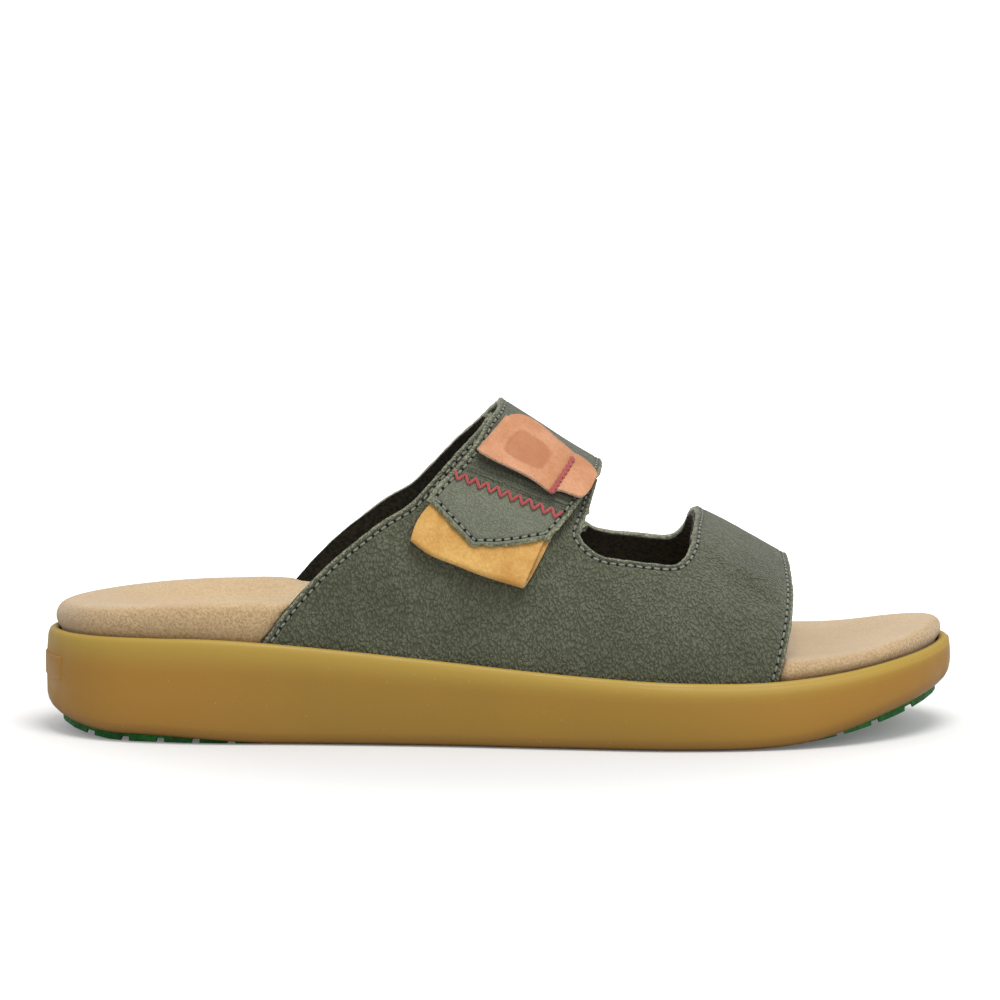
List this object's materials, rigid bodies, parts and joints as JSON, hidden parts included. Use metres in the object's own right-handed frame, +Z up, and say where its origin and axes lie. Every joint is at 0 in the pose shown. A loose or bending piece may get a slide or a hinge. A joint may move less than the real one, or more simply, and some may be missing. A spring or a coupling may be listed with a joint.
{
  "type": "slide sandal",
  "caption": "Open-toe slide sandal with a gum cup sole, suede footbed, one-piece nubuck upper and a hook-and-loop instep strap with a pull tab and label loop.",
  "frame": {"origin": "on the floor, below the middle of the sole's bounding box", "axes": "+X from heel to toe, +Y to the inner (medial) side of the foot, +Z up"},
  "size_m": [0.283, 0.102, 0.1035],
  "materials": {
    "tread": "matte green rubber",
    "gum": "satin amber gum rubber",
    "foam": "matt cork and foam",
    "suede": "napped suede",
    "nubuck": "pebbled nubuck with raw edges",
    "lining": "dark brushed textile",
    "tape": "hook and loop pile",
    "tip_leather": "smooth nubuck with raw edges",
    "tab_leather": "yellow nubuck",
    "label_leather": "smooth vegetable-tanned leather",
    "red_thread": "glossy bonded thread",
    "thread": "bonded thread"
  },
  "bodies": {
    "sandal": {"outsole_tread": "tread", "cup_midsole": "gum", "footbed_core": "foam", "footbed_cover": "suede", "upper_leather": "nubuck", "upper_lining": "lining", "loop_tape": "tape", "strap_base": "nubuck", "strap_base_thread": "thread", "rear_edge_thread_lateral": "thread", "rear_edge_thread_medial": "thread", "notch_edge_thread": "thread", "front_edge_thread": "thread"},
    "strap": {"strap_flap": "nubuck", "label_end": "label_leather", "zigzag_thread": "red_thread", "bartack_thread": "red_thread"},
    "tip": {"strap_tip": "tip_leather", "hook_tape": "tape", "pull_tab": "tab_leather"},
    "label": {"label_loop": "label_leather"}
  },
  "joints": [
    {"name": "strap_open", "type": "hinge", "parent": "sandal", "child": "strap", "pos_m": [0.0161, 0.002, 0.0933], "axis": [-0.8426, 0, 0.5385], "range_deg": [0, 130]},
    {"name": "tip_peel", "type": "hinge", "parent": "strap", "child": "tip", "pos_m": [0.0023, -0.0331, 0.07455], "axis": [-0.9319, 0.0758, 0.3546], "range_deg": [0, 70]},
    {"name": "label_lift", "type": "hinge", "parent": "strap", "child": "label", "pos_m": [0.0205, -0.021, 0.0852], "axis": [0.2758, 0.8764, 0.3947], "range_deg": [0, 50]}
  ]
}
